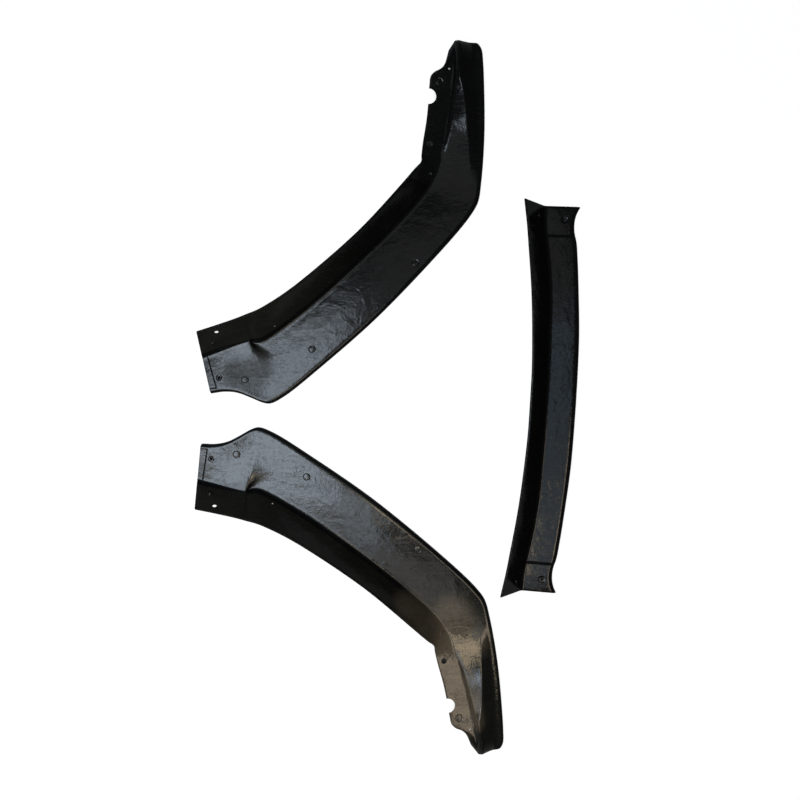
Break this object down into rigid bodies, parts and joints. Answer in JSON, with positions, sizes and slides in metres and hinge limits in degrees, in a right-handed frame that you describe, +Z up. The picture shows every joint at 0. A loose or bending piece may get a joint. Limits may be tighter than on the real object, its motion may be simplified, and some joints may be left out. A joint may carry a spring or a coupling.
{
  "type": "front splitter lip",
  "caption": "Moulded front splitter lip in separate sections: a curved centre and two mirrored wings with rear walls, laps and fixing flanges.",
  "frame": {"origin": "centre of the laid-out set's box, on the floor that the sections lie on", "axes": "+Y along the long side of the layout and of the centre section, +X from the wings' inner ends towards the centre section, +Z up from the floor"},
  "size_m": [0.7236, 1.3496, 0.0616],
  "materials": {
    "centre_plastic": "gloss black ABS with faint handling smudges",
    "wing_plastic": "gloss black ABS with fine scratches and smudges"
  },
  "bodies": {
    "root": {"centre_section": "centre_plastic", "left_wing": "wing_plastic", "right_wing": "wing_plastic"}
  },
  "joints": []
}
